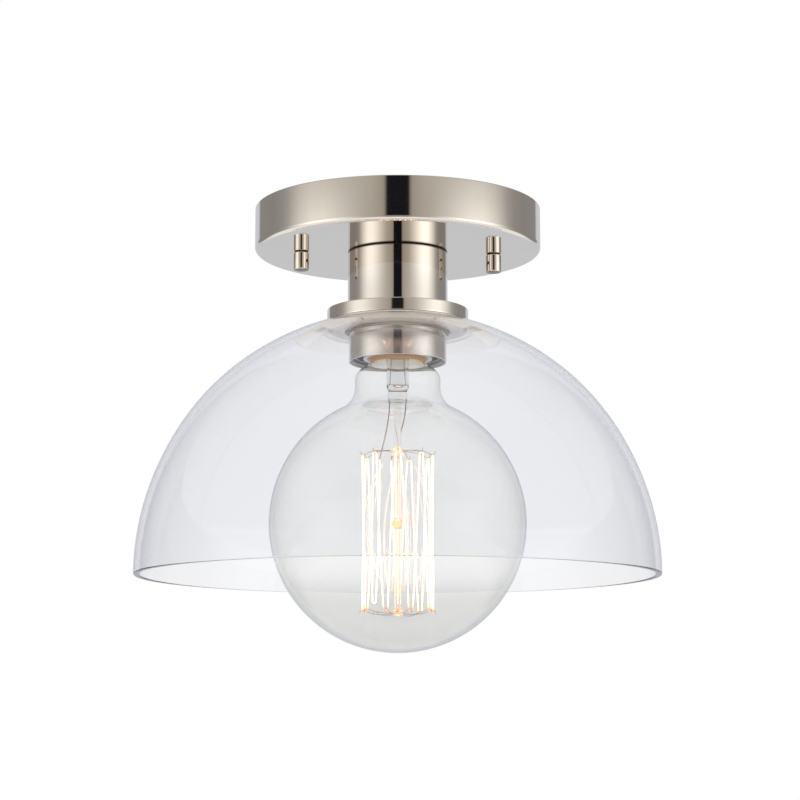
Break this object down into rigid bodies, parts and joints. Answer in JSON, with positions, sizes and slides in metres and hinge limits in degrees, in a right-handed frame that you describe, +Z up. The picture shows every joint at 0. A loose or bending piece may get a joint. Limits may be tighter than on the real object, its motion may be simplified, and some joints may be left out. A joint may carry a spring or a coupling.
{
  "type": "semi flush ceiling light",
  "caption": "Semi flush ceiling light: round canopy, short neck, clear glass dome held by a threaded collar, and a large globe bulb with a cage filament.",
  "frame": {"origin": "centre of the canopy's upper rim, in the ceiling plane", "axes": "+Z up into the ceiling; +X through the canopy's two knobs; +Y along the slots of the mounting plate"},
  "size_m": [0.254, 0.254, 0.218],
  "materials": {
    "polished_nickel": "polished warm nickel plate",
    "plated_steel": "zinc-plated steel",
    "clear_glass": "clear blown glass",
    "bulb_glass": "thin clear lamp glass",
    "porcelain": "white glazed porcelain",
    "brass": "pressed brass",
    "solder": "dull solder",
    "black_vitrite": "black lamp-cap glass",
    "silicone": "translucent silicone",
    "washer_plastic": "dark fibre washer",
    "black_insulation": "black wire insulation",
    "white_insulation": "white wire insulation",
    "connector_plastic": "orange connector shell",
    "bare_copper": "bare copper wire",
    "green_screw": "green grounding screw",
    "support_wire": "drawn molybdenum wire",
    "filament_wire": "glowing filament wire"
  },
  "bodies": {
    "fixture": {"mounting_plate": "plated_steel", "canopy_studs": "plated_steel", "stud_locknuts": "plated_steel", "ground_screw": "green_screw", "ground_wire": "bare_copper", "wire_connectors": "connector_plastic", "canopy": "polished_nickel", "nipple": "plated_steel", "nipple_locknuts": "plated_steel", "nipple_lockwasher": "plated_steel", "socket_housing": "polished_nickel", "shade_flange": "polished_nickel", "lampholder_body": "porcelain", "screw_shell": "brass", "centre_contact": "brass", "lampholder_strap": "plated_steel", "strap_screws": "plated_steel", "lead_black": "black_insulation", "lead_white": "white_insulation"},
    "bulb_button": {"bulb_contact": "solder", "bulb_insulator": "black_vitrite"},
    "bulb": {"bulb_cap": "brass", "bulb_glass": "bulb_glass", "bulb_stem": "bulb_glass", "bulb_rod": "bulb_glass", "bulb_leads": "support_wire", "upper_supports": "support_wire", "middle_support": "support_wire", "lower_supports": "support_wire", "filament": "filament_wire"},
    "shade": {"glass_shade": "clear_glass", "upper_gasket": "silicone", "lower_gasket": "silicone"},
    "collar": {"retaining_collar": "polished_nickel"},
    "washer_left": {"knob_washer_left": "washer_plastic"},
    "knob_left": {"knob_nut_left": "polished_nickel"},
    "washer_right": {"knob_washer_right": "washer_plastic"},
    "knob_right": {"knob_nut_right": "polished_nickel"}
  },
  "joints": [
    {"name": "bulb_lower", "type": "slide", "parent": "fixture", "child": "bulb_button", "axis": [0, 0, -1], "range_m": [0, 0.01815]},
    {"name": "bulb_turn", "type": "hinge", "parent": "bulb_button", "child": "bulb", "pos_m": [0, 0, -0.06], "axis": [0, 0, -1], "range_deg": [0, 1805]},
    {"name": "shade_lower", "type": "slide", "parent": "fixture", "child": "shade", "axis": [0, 0, -1], "range_m": [0, 0.012]},
    {"name": "collar_turn", "type": "hinge", "parent": "shade", "child": "collar", "pos_m": [0, 0, -0.069], "axis": [0, 0, -1], "range_deg": [0, 2885]},
    {"name": "knob_left_lower", "type": "slide", "parent": "fixture", "child": "washer_left", "axis": [0, 0, -1], "range_m": [0, 0.00596]},
    {"name": "knob_left_turn", "type": "hinge", "parent": "washer_left", "child": "knob_left", "pos_m": [-0.0476, 0, -0.026], "axis": [0, 0, -1], "range_deg": [0, 2705]},
    {"name": "knob_right_lower", "type": "slide", "parent": "fixture", "child": "washer_right", "axis": [0, 0, -1], "range_m": [0, 0.00596]},
    {"name": "knob_right_turn", "type": "hinge", "parent": "washer_right", "child": "knob_right", "pos_m": [0.0476, 0, -0.026], "axis": [0, 0, -1], "range_deg": [0, 2705]}
  ],
  "couplings": [
    {"joint": "bulb_turn", "follows": "bulb_lower", "rad_per_m": 1730.9},
    {"joint": "collar_turn", "follows": "shade_lower", "rad_per_m": 4188.8},
    {"joint": "knob_left_turn", "follows": "knob_left_lower", "rad_per_m": 7913.3},
    {"joint": "knob_right_turn", "follows": "knob_right_lower", "rad_per_m": 7913.3}
  ]
}
